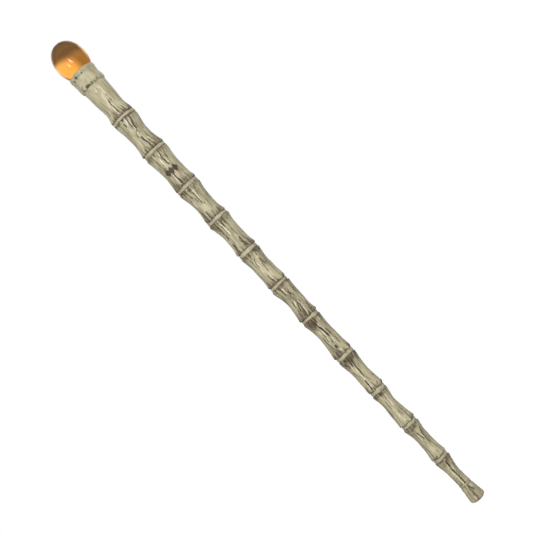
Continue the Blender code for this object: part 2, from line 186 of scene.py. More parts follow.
# Ridges drawn pale: partly polished bare, partly painted highlight
RIDGES_AND_HIGHLIGHTS = {
    1: (
        (60, 90, 10, 25, 23, 26, 38, 20), (80, 50, 14, -20, 21, -20), (70, 60, 59, 10, 74, 12, 88, 17),
        (70, 60, 71, -9, 85, -10, 97, -7), (40, 80, 28, 2, 54, -12, 69, -31),
    ),
    2: (
        (90, 70, 11, 15, 21, 14, 33, 13, 40, 8), (100, 70, -2, -3, 16, -11, 22, -22),
        (90, 60, -2, -34, 5, -35), (70, 50, 44, 3, 52, -4, 60, -6), (70, 60, 65, 13, 75, 19, 84, 23),
        (60, 50, 69, 44, 79, 44, 90, 44), (80, 60, 89, -37, 99, -33), (70, 50, 86, -61, 98, -64),
    ),
    3: (
        (90, 70, 16, -16, 25, -20, 39, -18), (60, 60, 22, 26, 33, 25, 45, 26), (80, 50, 8, 0, 18, -2),
        (80, 60, 66, -5, 78, -1, 92, 5), (100, 60, 65, -29, 76, -31, 88, -31, 100, -27),
        (50, 50, 17, -71, 31, -73),
    ),
    4: (
        (100, 80, -2, 5, 11, 5, 18, 2), (100, 70, -2, -27, 6, -28), (90, 50, 18, -19, 28, -17, 42, -21),
        (60, 50, 16, 12, 36, 4, 48, 3), (90, 50, 84, -49, 94, -51, 101, -51), (60, 60, 35, -65, 55, -69),
    ),
    5: (
        (100, 70, -2, -23, 10, -18, 24, -17, 38, -21, 51, -26), (50, 50, 10, 15, 16, 10, 33, 5),
        (60, 60, 48, -86, 62, -90, 71, -84), (60, 50, 86, -46, 97, -39), (50, 50, 52, 17, 64, 20),
    ),
    6: (
        (80, 60, 11, -13, 17, -21, 19, -29), (90, 60, 30, -16, 42, -16, 53, -20),
        (60, 50, 17, 0, 30, 3, 44, 6), (60, 50, 18, 22, 25, 20), (60, 50, 25, -42, 34, -42),
        (60, 50, 74, -15, 87, -8), (50, 40, 10, 57, 19, 51),
    ),
    7: (
        (90, 60, 8, -15, 16, -12, 27, -14), (100, 70, 51, -25, 58, -29, 64, -38),
        (100, 60, 60, -3, 67, -3, 74, -8), (80, 50, 54, 18, 62, 20), (70, 50, 75, 21, 86, 17, 96, 12),
        (60, 50, 36, 2, 41, 5), (60, 60, 75, -62, 79, -58), (60, 50, 23, 30, 33, 28),
    ),
    8: (
        (100, 60, 27, -17, 37, -15, 47, -18), (70, 50, 13, 6, 25, 10), (70, 50, 49, -27, 61, -29),
        (70, 60, 85, 5, 96, 2), (60, 50, 51, 22, 63, 14, 69, 10), (60, 60, 29, -41, 41, -49),
        (50, 50, 7, 59, 13, 52),
    ),
    9: (
        (80, 50, 20, -8, 25, -9), (100, 60, 31, -20, 46, -23, 60, -24, 69, -26),
        (80, 60, 82, -20, 94, -17), (60, 50, 75, 15, 87, 21), (50, 60, 72, -49, 92, -51),
        (60, 50, 18, -39, 30, -39),
    ),
    10: (
        (60, 60, 8, 22, 27, 27, 47, 19), (80, 50, 47, -14, 57, -16), (70, 50, 63, -15, 78, -16),
        (70, 60, 82, -5, 93, 1), (60, 60, 9, -38, 20, -34), (50, 50, 16, -12, 39, -15),
    ),
    11: (
        (70, 50, -2, 11, 13, 14), (60, 50, 27, 13, 41, 20), (100, 60, 57, -24, 69, -22, 83, -21),
        (50, 60, 73, 21, 85, 23), (50, 50, 27, -30, 46, -30), (40, 60, 6, -21, 17, -34),
    ),
    12: (
        (80, 60, 22, 36, 42, 36, 53, 36), (100, 80, 40, -16, 64, -14, 80, -12, 102, -12),
        (60, 60, 22, -12, 42, -16), (40, 60, 51, -42, 70, -46),
    ),
}

# Broad stains on the front, in hundredths too: strength, share down, share across, half length
# as a share of the segment's, and half width as an angle. A negative one is pale.
STAINS = {
    1: ((50, 98, 30, 5, 80), (40, 99, -70, 7, 50), (-28, 42, 0, 45, 120)),
    2: ((50, 1, -20, 4, 90), (60, 97, 30, 5, 80)),
    3: ((60, 95, -40, 9, 60), (40, 97, 50, 6, 50)),
    4: ((60, 7, -50, 6, 60), (70, 91, -72, 14, 22), (50, 96, 55, 9, 40)),
    5: ((70, 9, -72, 9, 32), (70, 78, -72, 21, 18), (50, 91, 42, 11, 30)),
    6: ((60, 1, 30, 5, 90), (50, 93, -60, 10, 40), (40, 2, -60, 5, 40)),
    7: ((55, 82, -10, 23, 45), (65, 93, -50, 13, 50), (40, 53, 0, 19, 20)),
    8: ((60, 11, -60, 16, 35), (70, 73, -10, 16, 22), (65, 89, -50, 20, 50)),
    9: ((60, 6, 0, 7, 80), (40, 11, -50, 10, 30)),
}

# Short strokes for each segment's back and flanks, and how many of them are cracks
STRAY_STROKES = 34
STRAY_CRACKS = 0.68

# How deep the cracks are cut and how high the ridges stand, in mm
CRACK_DEPTH = 0.45
CRACK_LIPS = 0.10
RIDGE_HEIGHT = 0.22
STRAY_DEPTH = 0.40
CUP_CRACK_DEPTH = 0.35
FOOT_CRACK_DEPTH = 0.38
FOOT_RIDGE_HEIGHT = 0.2

# How much wider than their tables say the strokes are drawn
CRACK_WIDENING = 1.35
RIDGE_WIDENING = 1.3
CUP_WIDENING = 1.25

# The plain mark engraved on one segment
MARKED_SEGMENT = 3
MARK_DEPTH = 0.22
LOZENGE_ANGLES = (0.34, -0.10, -0.54)
LOZENGE_DOWN = 13.9 * MM
LOZENGE_HALF_WIDTH = 1.75 * MM
LOZENGE_HALF_HEIGHT = 2.2 * MM

# Round the cup: its cracks and notches, its cut line, and how far its rim leans towards -X
CUP_CRACKS = (
    (100, 110, 72, -58, 79, -72, 88, -76, 104, -74), (100, 110, 86, -46, 95, -48, 102, -50),
    (100, 130, 84, -34, 100, -32), (90, 90, 88, -20, 100, -20), (80, 80, 86, 4, 102, 5),
    (70, 90, 88, 28, 98, 28), (70, 90, 84, 54, 98, 52), (50, 80, 84, 80, 100, 84),
    (100, 120, 12, -56, 30, -50), (90, 90, 24, -74, 36, -78), (90, 100, 18, 0, 27, -1),
    (50, 70, 20, -24, 30, -27), (40, 70, 20, 28, 26, 28),
)
CUP_CUT_SHARE = 0.232
CUP_BOW = -0.25 * MM

# The V and the cracks cut into the foot, the ridges beside them, and where all of them are
# turned to: once at the front and twice, fainter, round the back
FOOT_CRACKS = (
    (80, 165, 2, 4, 16, 16, 29, 30, 44, 42), (58, 105, 3, 2, 19, -4, 46, 0, 102, 0),
    (30, 90, 2, -30, 29, -32), (25, 50, 24, 72, 57, 70),
)
FOOT_RIDGES = (
    (60, 80, -4, -15, 24, -18), (80, 100, 65, -20, 87, -25), (60, 80, 2, 50, 24, 52),
)
FOOT_TURNS = (0.0, 2.2, -2.0)
FOOT_BACK_INK = 0.7

JOINT_FILL = 0.26 * MM  # how much of the 0.3 mm between two castings the lip of one fills
SEAM_REACH = 5 * MM  # how far from a joint a segment follows its wandering seam
RING_OVERLAP = 0.2 * MM  # how far a ring reaches past its CAD solid at each end
KNOB_HALF_LENGTH = 12.7 * MM
KNOB_POWER = 2.15  # a little blunter than an ellipsoid
ROD_BORE = 1.8 * MM
THREAD_PITCH = 0.5 * MM
THREAD_DEPTH = 0.28 * MM
STUD_THREAD = 10.0 * MM
FOOT_THREAD = 6.0 * MM

CREAM = (0.61, 0.557, 0.355)
OLIVE = (0.465, 0.42, 0.262)
RING_CREAM = (0.54, 0.50, 0.335)
RING_OLIVE = (0.43, 0.40, 0.265)
STREAK = (0.30, 0.25, 0.155)
# The pale tone of the ridges and raised spots: partly polish, partly painted highlight
POLISHED_AND_HIGHLIGHT = (0.92, 0.86, 0.64)
WASH = (0.125, 0.091, 0.052)
WASH_WARM = (0.187, 0.134, 0.090)
INK = (0.026, 0.017, 0.008)
AMBER_CLEAR = (1.0, 0.92, 0.78)
AMBER_DEEP = (0.99, 0.70, 0.06)
AMBER_DENSITY = 140.0
STEEL = (0.56, 0.56, 0.57)
STEEL_TARNISH = (0.30, 0.29, 0.28)
BRASS = (0.72, 0.50, 0.20)
BRASS_TARNISH = (0.38, 0.24, 0.10)
RUBBER = (0.018, 0.018, 0.017)
RUBBER_DUST = (0.06, 0.055, 0.05)
FLOOR_TONES = ((0.195, 0.195, 0.19), (0.215, 0.215, 0.21))

# The lights, and how bright the room is on each side of the wand
KEY_POWER = 4.4
TUBE_POWER = 1.35
LIGHTS_AIM = 0.22
ROOM_FRONT = 0.54
ROOM_BACK = 0.55
ROOM_DIM = 0.17
ROOM_LEFT_WALL = 0.20
ROOM_WALL = 1.05
WALL_LEAN = 0.29
RIM_GLOW = 0.8
BACKDROP_SHEEN = 0.95


def ramp(low, high, value):
    """0 at `low`, 1 at `high`, and a smooth slope between them."""
    share = np.clip((value - low) / (high - low), 0.0, 1.0)
    return share * share * (3 - 2 * share)


def bell(value):
    """1 at zero, falling away smoothly on both sides."""
    return np.exp(-(value**2))


def wrapped(angle):
    """The angle brought to between -pi and pi."""
    return (angle + math.pi) % (2 * math.pi) - math.pi


def noise(rng, phi, down, around, along):
    """Smooth noise from -1 to 1 over angle and height, with `around` bumps round the piece and
    one every `along` metres down it. It closes on itself round the piece."""
    rows = int(np.ptp(down) / along) + 4
    knots = rng.uniform(-1, 1, (rows, around))
    column = (phi / (2 * math.pi) * around) % around
    row = (down - down.min()) / along
    i, j = np.floor(row).astype(int), np.floor(column).astype(int)
    u, v = ramp(0.0, 1.0, row - i), ramp(0.0, 1.0, column - j)
    j, j_next = j % around, (j + 1) % around
    upper = knots[i, j] * (1 - v) + knots[i, j_next] * v
    lower = knots[i + 1, j] * (1 - v) + knots[i + 1, j_next] * v
    return upper * (1 - u) + lower * u


def layered(rng, phi, down, around, along, layers=3):
    """Noise with finer layers added, still about -1 to 1."""
    total = 0.0
    for layer in range(layers):
        total = total + noise(rng, phi, down, around * 2**layer, along / 2**layer) / 2**layer
    return total / 1.3


def blurred(field, rows, columns):
    """The field averaged over about this many rows and columns; it wraps round."""

    def kernel(width):
        reach = np.arange(-3 * width, 3 * width + 1)
        weights = bell(reach / width / math.sqrt(2))
        return zip(reach, weights / weights.sum())

    start = 3 * rows
    padded = np.pad(field, ((start, start), (0, 0)), mode="edge")
    down = sum(w * padded[start + k : start + k + len(field)] for k, w in kernel(rows))
    return sum(w * np.roll(down, -k, axis=1) for k, w in kernel(columns))


def outline(node):
    """The CAD node's heights from the top down, with its least and greatest radius at each."""
    points = np.array([v.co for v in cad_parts[node].data.vertices])
    radii = np.hypot(points[:, 0], points[:, 1])
    order = np.argsort(-points[:, 2])
    heights, radii = points[order, 2], radii[order]
    starts = np.concatenate([[0], np.where(np.diff(heights) < -2e-6)[0] + 1, [len(heights)]])
    spans = [slice(a, b) for a, b in zip(starts, starts[1:])]
    return np.array([(heights[s].mean(), radii[s].min(), radii[s].max()) for s in spans]).T


def extent(node):
    """The CAD node's top and bottom, its bore and its greatest radius."""
    heights, inner, outer = outline(node)
    return heights[0], heights[-1], inner.min(), outer.max()


def rows_between(top, bottom):
    return np.linspace(top, bottom, int((top - bottom) / ROW))


def smooth_curve(heights, knot_heights, knot_radii, reach=0.9 * MM):
    """Radii at the heights, on a curve through the knots rounded over `reach`."""
    step = abs(heights[1] - heights[0])
    spare = int(3 * reach / step) + 1
    radii = np.interp(-heights, -knot_heights, knot_radii)
    radii = np.pad(radii, spare, mode="reflect", reflect_type="odd")
    offsets = np.arange(-spare, spare + 1)
    kernel = bell(offsets * step / reach / math.sqrt(2))
    return np.convolve(radii, kernel / kernel.sum(), mode="valid")


def grid(heights, around=AROUND):
    """Angle and height arrays for rows at the heights."""
    angles = np.linspace(-math.pi, math.pi, around, endpoint=False)
    return np.meshgrid(angles, heights)


def place(phi, radius, height, bow=0.0):
    """Grid points as an array of positions."""
    radius, height, bow = (np.broadcast_to(a, phi.shape) for a in (radius, height, bow))
    return np.stack([radius * np.sin(phi) + bow, -radius * np.cos(phi), height], axis=-1)


def row_of(radius, height):
    """One row of points at a radius and a height, which may vary round it."""
    return place(grid([0.0])[0], radius, height)


def plain_wear(rows, wash, ink=0.0):
    """The same wash and ink on this many rows."""
    return np.tile([wash, ink, 0.0], (rows, AROUND, 1))


class Skin:
    """A casting's outer surface on its grid of points: how far it stands out, in mm, and how
    strongly it is inked and made pale. The pale is partly rubbed bare, partly painted highlight."""

    def __init__(self, levels, radii, bottom):
        self.phi, self.height = grid(levels)
        self.share = (levels[0] - self.height) / (levels[0] - bottom)
        self.radius = np.repeat(radii[:, None], AROUND, axis=1)
        self.relief, self.ink, self.pale = np.zeros((3, *self.phi.shape))

    def cut(self, line, depth, inked=1.0):
        self.relief -= depth * line
        self.ink = np.maximum(self.ink, inked * line)

    def raise_ridge(self, line, height):
        self.relief += height * line
        # The ridge is painted pale: partly polish, and on the front ridges a painted highlight
        self.pale = np.maximum(self.pale, line)

    def strokes(self, table, rng, widen=1.0, turn=0.0):
        """For each stroke of a table in hundredths, its strength at each point of the grid and
        that of the lips beside it. Both fade at its ends."""
        still = np.zeros_like(self.share)
        for strength, width, *points in table:
            shares, sines = np.array(points).reshape(-1, 2).T / 100
            width = widen * width / 100 * MM
            centre = np.interp(self.share, shares, np.arcsin(sines))
            sway = noise(rng, still, self.share, 3, 0.07) * 0.25 * width / self.radius
            swell = 0.8 + 0.35 * noise(rng, still, self.share, 3, 0.05)
            apart = wrapped(self.phi - turn - centre + sway)
            apart = apart * self.radius / (0.5 * width * swell)
            run = (self.share - shares[0]) / max(shares[-1] - shares[0], 0.02)
            fade = ramp(-0.04, 0.10, run) * ramp(1.04, 0.86, run)
            fade = fade * strength / 100
            yield bell(apart) * fade, bell(np.abs(apart) - 2.0) * fade

    def add_stray_strokes(self, rng):
        """Short cracks and ridges where the tables have none: on the back and the flanks."""
        places = []
        for _ in range(STRAY_STROKES):
            start = rng.uniform(-0.02, 0.9)
            length = rng.uniform(0.06, 0.34)
            angle = rng.uniform(0.42 * math.pi, 1.58 * math.pi)
            places.append((start, length, angle, rng.uniform(-0.10, 0.10)))
        still = np.zeros_like(self.share)
        for start, length, angle, drift in places:
            strength = rng.uniform(0.35, 1.0)
            width = rng.uniform(0.35, 0.7) * MM
            run = (self.share - start) / length
            bend = noise(rng, still, self.share, 3, 0.12) * 0.5 * MM / self.radius
            apart = wrapped(self.phi - angle - drift * run + bend) * self.radius
            line = strength * bell(apart / (0.5 * width))
            line = line * ramp(0.0, 0.2, run) * ramp(1.0, 0.75, run)
            if rng.random() < STRAY_CRACKS:
                self.cut(line, STRAY_DEPTH)
            else:
                self.raise_ridge(line, RIDGE_HEIGHT)

    def wear_and_highlights(self, wash):
        return np.stack([wash, self.ink, self.pale], axis=-1)


def add_object(name, data):
    obj = bpy.data.objects.new(name, data)
    bpy.context.scene.collection.objects.link(obj)
    return obj


def solid(name, rows, material, wear_and_highlights=None, body="shaft", poles=False, sharp=0):
    """One closed mesh from rows of points, in place of the CAD node of that name. The rows run
    down the outside and back up the bore, and the last joins the first, or with `poles` both
    ends close on the axis. `wear_and_highlights` holds wash, ink and pale values for each point; the pale
    is partly painted highlight. With `sharp`, edges beyond that angle in degrees stay sharp."""
    count, around = rows.shape[:2]
    points = rows.reshape(-1, 3)
    wear_and_highlights = np.zeros((len(points), 3)) if wear_and_highlights is None else wear_and_highlights.reshape(-1, 3)
    index = np.arange(count * around).reshape(count, around)
    if not poles:
        index = np.vstack([index, index[:1]])
    beside = np.roll(index, -1, axis=1)
    quads = np.stack([index[:-1], index[1:], beside[1:], beside[:-1]], axis=-1)
    faces, sizes = [quads.ravel()], [np.full(quads.size // 4, 4)]
    for end in (0, -1) if poles else ():
        fan = (index[end], beside[end], np.full(around, len(points)))
        faces.append(np.stack(fan[::-1] if end else fan, axis=-1).ravel())
        sizes.append(np.full(around, 3))
        points = np.vstack([points, [0.0, 0.0, rows[end, :, 2].mean()]])
        wear_and_highlights = np.vstack([wear_and_highlights, wear_and_highlights[index[end]].mean(axis=0)])
    loops, sizes = np.concatenate(faces), np.concatenate(sizes)
    mesh = bpy.data.meshes.new(name)
    mesh.vertices.add(len(points))
    mesh.vertices.foreach_set("co", points.astype(np.float32).ravel())
    mesh.loops.add(len(loops))
    mesh.loops.foreach_set("vertex_index", loops.astype(np.int32))
    mesh.polygons.add(len(sizes))
    starts = np.concatenate([[0], np.cumsum(sizes)[:-1]])
    mesh.polygons.foreach_set("loop_start", starts.astype(np.int32))
    mesh.update(calc_edges=True)
    mesh.validate()
    mesh.shade_smooth()
    if sharp:
        mesh.set_sharp_from_angle(angle=math.radians(sharp))
    layer = mesh.attributes.new("wear_and_highlights", "FLOAT_COLOR", "POINT")
    colours = np.hstack([np.clip(wear_and_highlights, 0, 1), np.ones((len(wear_and_highlights), 1))])
    layer.data.foreach_set("color", colours.astype(np.float32).ravel())
    mesh.materials.append(material)
    obj = add_object(name, mesh)
    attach(obj, body)
    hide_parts(name)


def seam(number, side, phi):
    """How far a joint's face wanders up from level at each angle. Side 0 is the upper face of
    ring `number`, and side 1 its lower face."""
    rngs = [np.random.default_rng(start + 2 * number + side) for start in (100, 200, 300)]
    tilt, turn = rngs[0].uniform(0.05, 0.22), rngs[0].uniform(0, 2 * math.pi)
    level = np.zeros_like(phi)
    wander = noise(rngs[1], phi, level, 9, 1.0)
    waver = noise(rngs[2], phi, level, 23, 1.0)
    return (tilt * np.sin(phi + turn) + 0.28 * wander + 0.13 * waver) * MM


def lozenges(phi, down, radius):
    """Three small lozenges in a row round the front, 1 on their lines and less inside."""
    drawn = np.zeros_like(phi)
    for angle in LOZENGE_ANGLES:
        across = np.abs(phi - angle) * radius / LOZENGE_HALF_WIDTH
        span = across + np.abs(down - LOZENGE_DOWN) / LOZENGE_HALF_HEIGHT
        drawn = np.maximum(drawn, bell((span - 0.85) / 0.24))
        drawn = np.maximum(drawn, 0.75 * ramp(1.0, 0.8, span))
    return drawn


def add_segment(number, material):
    """A waisted segment: its cracks, ridges, wash and stains, between two wandering seams."""
    node = f"segment_{number:02d}"
    rng = np.random.default_rng(number)
    heights, inner, outer = outline(node)
    top, bottom, bore = heights[0], heights[-1], inner.min()
    length = top - bottom
    edge = heights[0] - heights[1]
    levels = rows_between(top, bottom)
    skin = Skin(levels, smooth_curve(levels, heights[1:-1], outer[1:-1]), bottom)
    phi, height, share = skin.phi, skin.height, skin.share

    skin.relief = 0.12 * layered(rng, phi, height, 22, 11 * MM, 2)
    skin.relief += 0.12 * noise(rng, phi, height, 9, 5 * MM)
    for line, lips in skin.strokes(CRACKS[number], rng, CRACK_WIDENING):
        skin.cut(line, CRACK_DEPTH)
        skin.relief += CRACK_LIPS * lips
    # Raised ridges, painted pale: partly polish, partly painted highlight
    for line, _ in skin.strokes(RIDGES_AND_HIGHLIGHTS[number], rng, RIDGE_WIDENING):
        skin.raise_ridge(line, RIDGE_HEIGHT)
    skin.add_stray_strokes(rng)
    if number == MARKED_SEGMENT:
        mark = lozenges(phi, share * length, skin.radius)
        skin.cut(mark, MARK_DEPTH)
        skin.pale = skin.pale * (1 - mark)

    # The wash: tongues from both ends, stains, the hollows and a halo round each crack
    hollow = (blurred(skin.relief, 4, 4) - skin.relief) / 0.2
    grain = layered(rng, phi, height, 26, 9 * MM, 2)
    fine = layered(rng, phi, height, 44, 8 * MM, 2)
    wash = np.zeros_like(phi)
    for reach, gone in zip(WASH_REACH[number], (top - height, height - bottom)):
        tongue = layered(rng, phi, np.zeros_like(phi), 20, 1.0, 2)
        tongue = np.maximum(reach * (1.5 + 1.5 * tongue + 0.5 * grain), 0.35) * MM
        fade = ramp(1.0, 0.15, gone / tongue)
        wash = np.maximum(wash, fade * (0.85 + 0.9 * fine) * (reach > 0.25))
    for stain in STAINS.get(number, ()):
        strength, down, across, half_length, half_width = np.array(stain) / 100
        spread = bell((phi - math.asin(across)) / half_width) * bell((share - down) / half_length)
        wash += strength * spread * (0.6 + 0.8 * ramp(-0.4, 0.5, fine))
    wash += 0.30 * np.clip(hollow, 0, 1) + 0.55 * ramp(0.0, 0.6, fine)
    wash += 1.2 * blurred(skin.ink, 4, 3)
    # The raised bumps and the crack lips are made paler: partly rubbed paint, partly painted highlight
    skin.pale += 0.30 * np.clip(-hollow, 0, 1) * (1 - np.clip(wash, 0, 1))
    wash = wash * (1 - 0.75 * np.clip(skin.pale, 0, 1))

    # The ends beside a ring: lobed, with a rounded corner
    above = top - height if number > 1 else length
    below = height - bottom if number < SEGMENTS else length
    near_end = np.minimum(above, below)
    lobes = 0.26 * noise(rng, phi, height, 15, 3 * MM) * ramp(3 * MM, 0.5 * MM, near_end)
    rounding = np.clip(1 - near_end / (2.2 * edge), 0, 1)
    radius = skin.radius + (skin.relief * ramp(0.0, 0.7 * MM, near_end) + lobes) * MM
    radius = radius - 0.7 * edge * (1 - np.sqrt(1 - rounding**2))

    upper = seam(number - 1, 1, phi) if number > 1 else JOINT_FILL
    lower = seam(number, 0, phi) if number < SEGMENTS else 0.0
    lifted = height + upper * ramp(SEAM_REACH, 0, top - height)
    lifted = lifted + lower * ramp(SEAM_REACH, 0, height - bottom)
    bow = BOWS.get(number, 0.0) * MM * np.sin(math.pi * share) ** 2
    rows = [place(phi, radius, lifted, bow)]
    # The lower face runs in to the bore, and the upper face back out
    for end, inward in ((-1, (0.35, 0.7, 1.0)), (0, (1.0, 0.7, 0.35))):
        reach = np.hypot(*rows[0][end, :, :2].T)
        rows += [row_of(reach + (bore - reach) * k, lifted[end]) for k in inward]
    wear_and_highlights = np.concatenate([skin.wear_and_highlights(wash), plain_wear(6, 0.8, 0.2)])
    solid(node, np.concatenate(rows), material, wear_and_highlights)


def add_ring(number, material):
    """A collar, fuller in the middle of its height, between two wandering seams."""
    node = f"ring_{number:02d}"
    rng = np.random.default_rng(40 + number)
    top, bottom, bore, radius = extent(node)
    top, bottom = top + RING_OVERLAP, bottom - RING_OVERLAP
    levels = np.linspace(top, bottom, int((top - bottom) / (0.12 * MM)))
    phi, height = grid(levels)
    share = (top - height) / (top - bottom)
    across = 2 * share - 1
    relief = 0.10 - 0.24 * np.abs(across) ** 5 - 0.18 * across**2
    relief += 0.12 * layered(rng, phi, height, 12, 3 * MM)
    relief += 0.02 * noise(rng, phi, height, 60, MM)
    lifted = height + seam(number, 0, phi) * (1 - share) + seam(number, 1, phi) * share
    rows = [place(phi, radius + relief * MM, lifted)]
    patches = ramp(-0.5, 0.5, noise(rng, phi, height, 14, 4 * MM))
    # Darker towards both edges: painted shade where the collar rounds into the joints, in patches of
    # brown stain
    edge_shade_and_stain = ramp(0.35, 1.0, np.abs(across)) * (0.1 + 0.8 * patches)
    stain = ramp(0.2, 0.8, layered(rng, phi, height, 16, 2 * MM)) * 0.40
    # Paler patches across the middle of the collar's height: a painted highlight on its rounded face
    pale = 0.35 * ramp(0.2, 0.8, layered(rng, phi, height, 12, 3 * MM)) * (1 - across**2)
    wear_and_highlights = np.stack([edge_shade_and_stain + stain, np.zeros_like(phi), pale], axis=-1)
    # Each face has a thin lip that nearly meets the segment beside it
    for end, lip_height in ((-1, -0.07 * MM), (0, 0.07 * MM)):
        reach = np.hypot(*rows[0][end, :, :2].T)
        lip = lifted[end] + lip_height
        steps = [(0.3 * MM, lifted[end]), (0.4 * MM, lip), (reach - bore, lip)]
        rows += [row_of(reach - depth, z) for depth, z in (steps if end else steps[::-1])]
    wear_and_highlights = np.concatenate([wear_and_highlights, plain_wear(6, 0.7, 0.1)])
    solid(node, np.concatenate(rows), material, wear_and_highlights)


def add_cup(material):
    """The socket cup: two smooth bands, a cut line under its rim and a ragged lower lip."""
    rng = np.random.default_rng(61)
    heights, inner, outer = outline("socket_cup")
    top, bottom, bore = heights[0], heights[-1], inner.min()
    shell = outer > 0.9 * outer.max()
    levels = np.linspace(top, bottom, 110)
    base = smooth_curve(levels, heights[shell], outer[shell], 0.2 * MM)
    skin = Skin(levels, base, bottom)
    phi, height, share = skin.phi, skin.height, skin.share
    skin.relief = 0.05 * layered(rng, phi, height, 14, 4 * MM)
    skin.relief += 0.012 * noise(rng, phi, height, 80, MM)
    for line, _ in skin.strokes(CUP_CRACKS, rng, CUP_WIDENING):
        skin.cut(line, CUP_CRACK_DEPTH)
    cut = bell((share - CUP_CUT_SHARE) / 0.022)
    specks = ramp(0.0, 0.55, layered(rng, phi, height, 24, 2 * MM))
    # Stronger towards -X: the cut line's specks and wash are darker on that side
    minus_x_weight = 0.05 + 0.45 * ramp(0.35, -0.25, np.sin(phi))
    skin.ink = np.maximum(skin.ink, cut * specks * minus_x_weight)
    ragged = ramp(-0.25, 0.5, layered(rng, phi, height, 26, 3 * MM))
    waist = bell((share - 0.45) / 0.2) * (0.5 + 0.5 * np.sin(phi))
    relief = skin.relief - 0.18 * ramp(0.93, 1.0, share) * ragged - 0.36 * waist
    # The lower lip draws in to the segment below it
    neck = outline("segment_01")[2][1] + 0.06 * MM
    radius = skin.radius - (base[-1] - neck) * ramp(0.86, 1.0, share)
    wash = 0.35 * cut * minus_x_weight + 0.20 * ramp(0.92, 1.0, share) * ragged
    wash += 0.30 * ramp(0.0, 0.9, layered(rng, phi, height, 18, 7 * MM, 2))
    wash += 0.6 * blurred(skin.ink, 3, 3)
    skin.pale = 0.10 * ramp(0.2, 0.9, layered(rng, phi, height, 10, 6 * MM, 2))
    floor = np.where(~shell)[0][-1]
    inside = [(0.5 * (bore + outer[-1]), bottom), (bore, bottom), (bore, heights[floor])]
    inside += [(outer[k], heights[k]) for k in range(floor, 0, -1) if not shell[k]]
    inside += [(inner[0], top - 0.1 * MM), (inner[0] + 0.08 * MM, top)]
    rows = [place(phi, radius + relief * MM, height, CUP_BOW * (1 - share))]
    rows = np.concatenate(rows + [row_of(r, z) for r, z in inside])
    wear_and_highlights = np.concatenate([skin.wear_and_highlights(wash), plain_wear(len(inside), 0.35)])
    solid("socket_cup", rows, material, wear_and_highlights)


def add_bead(material):
    """The thin bead above the foot."""
    rng = np.random.default_rng(62)
    top, bottom, bore, radius = extent("foot_bead")
    top, bottom = top + JOINT_FILL, bottom - JOINT_FILL
    phi, height = grid(np.linspace(top, bottom, 16))
    across = 2 * (top - height) / (top - bottom) - 1
    relief = 0.18 - 0.35 * np.abs(across) ** 4 + 0.05 * layered(rng, phi, height, 12, MM)
    rows = [place(phi, radius + relief * MM, height), row_of(bore, bottom), row_of(bore, top)]
    # Darker towards the lower edge
    wash = 0.36 + 0.5 * ramp(0.5, 1.0, across)
    wear_and_highlights = np.concatenate([np.stack([wash, 0 * wash, 0 * wash], axis=-1), plain_wear(2, 0.6)])
    solid("foot_bead", np.concatenate(rows), material, wear_and_highlights)


def add_foot(material):
    """The flared foot, with its cut V and cracks, its flat end and the insert's pocket."""
    rng = np.random.default_rng(63)
    heights, _, outer = outline("foot_tip")
    top, bottom = heights[0], heights[-1]
    shell = outer > 0.6 * outer.max()
    levels = rows_between(top, bottom + 0.02 * MM)
    base = smooth_curve(levels, heights[shell], outer[shell], 0.35 * MM)
    skin = Skin(levels, base, bottom)
    phi, height, share = skin.phi, skin.height, skin.share
    skin.relief = 0.06 * layered(rng, phi, height, 16, 8 * MM, 2)
    for turn in FOOT_TURNS:
        for line, _ in skin.strokes(FOOT_CRACKS, rng, turn=turn):
            skin.cut(line, FOOT_CRACK_DEPTH, FOOT_BACK_INK if turn else 1.0)
        for line, _ in skin.strokes(FOOT_RIDGES, rng, turn=turn):
            skin.raise_ridge(line, FOOT_RIDGE_HEIGHT)
    wash = 0.10 + 0.6 * ramp(0.07, 0.0, share)
    wash += 0.45 * ramp(-0.2, 0.8, layered(rng, phi, height, 16, 8 * MM, 2))
    wash += 0.8 * blurred(skin.ink, 3, 3) + 0.2 * ramp(0.9, 1.0, share)
    wash = wash * (1 - 0.7 * np.clip(skin.pale, 0, 1))
    keep = ramp(0.0, 0.05, share) * ramp(1.0, 0.93, share)
    pocket, floor = outer[~shell].max(), heights[~shell].min()
    rows = [row_of(0.4 * pocket, floor), row_of(pocket, floor), row_of(pocket, top)]
    rows.append(place(phi, skin.radius + skin.relief * keep * MM, height))
    rows += [row_of(base[-1] * k, bottom) for k in (0.85, 0.6, 0.3)]
    wear_and_highlights = np.concatenate([plain_wear(3, 0.8), skin.wear_and_highlights(wash), plain_wear(3, 0.25)])
    solid("foot_tip", np.concatenate(rows), material, wear_and_highlights, poles=True)


